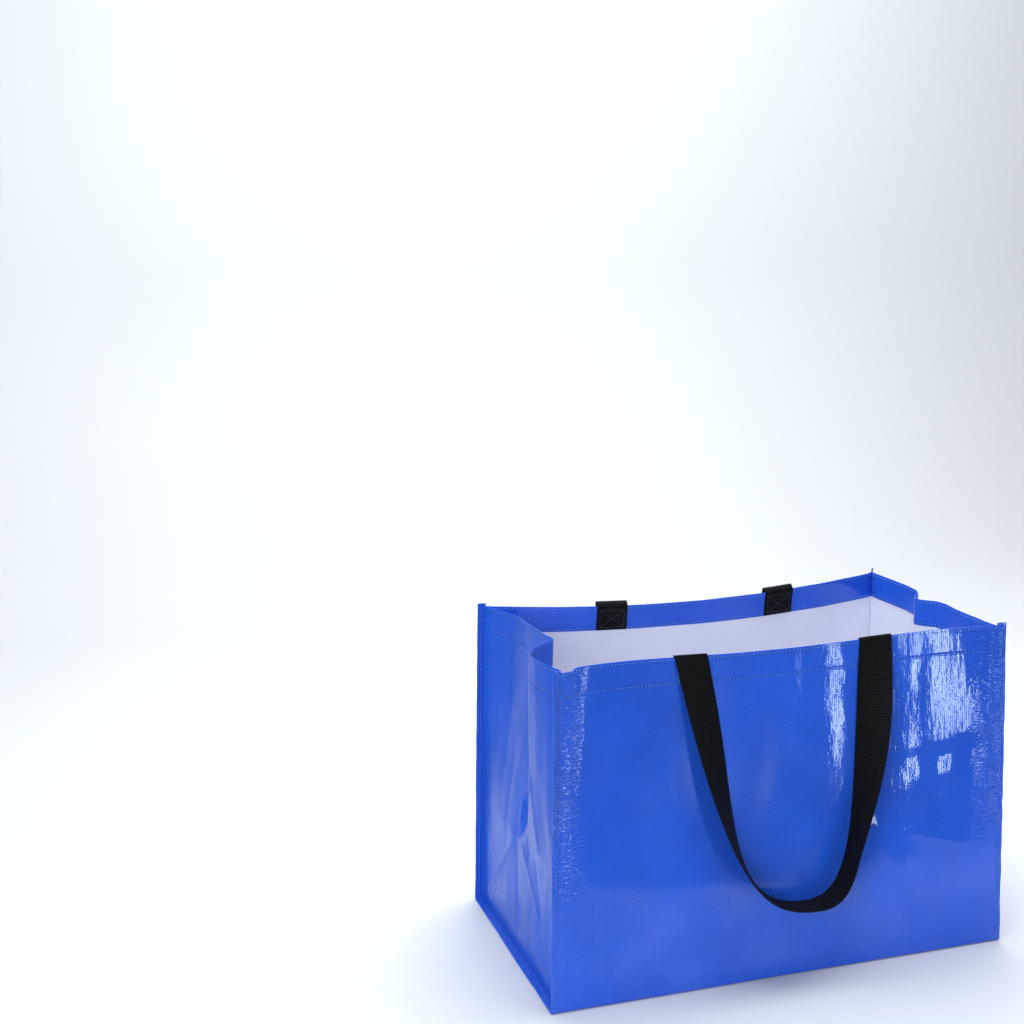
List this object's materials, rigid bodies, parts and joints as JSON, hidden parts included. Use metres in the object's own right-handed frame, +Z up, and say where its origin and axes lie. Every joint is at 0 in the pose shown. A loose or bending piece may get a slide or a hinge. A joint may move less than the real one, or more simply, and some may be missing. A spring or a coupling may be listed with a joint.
{
  "type": "laminated shopping tote",
  "caption": "Large open-topped shopping tote of glossy laminated woven sheet, with bound side seams, pleated gussets, a stitched hem and webbing handles hanging over the rim.",
  "frame": {"origin": "middle of the underside of the bottom panel", "axes": "+Z up, -Y the front panel, +X to the right along the bottom fold"},
  "size_m": [0.55, 0.3667, 0.3805],
  "materials": {
    "laminate": "glossy film over a fine plain weave",
    "webbing": "matt ribbed webbing",
    "thread": "spun sewing thread"
  },
  "bodies": {
    "root": {"body_wrap": "laminate", "gusset_left": "laminate", "gusset_right": "laminate", "handle_front": "webbing", "handle_back": "webbing"}
  },
  "joints": []
}
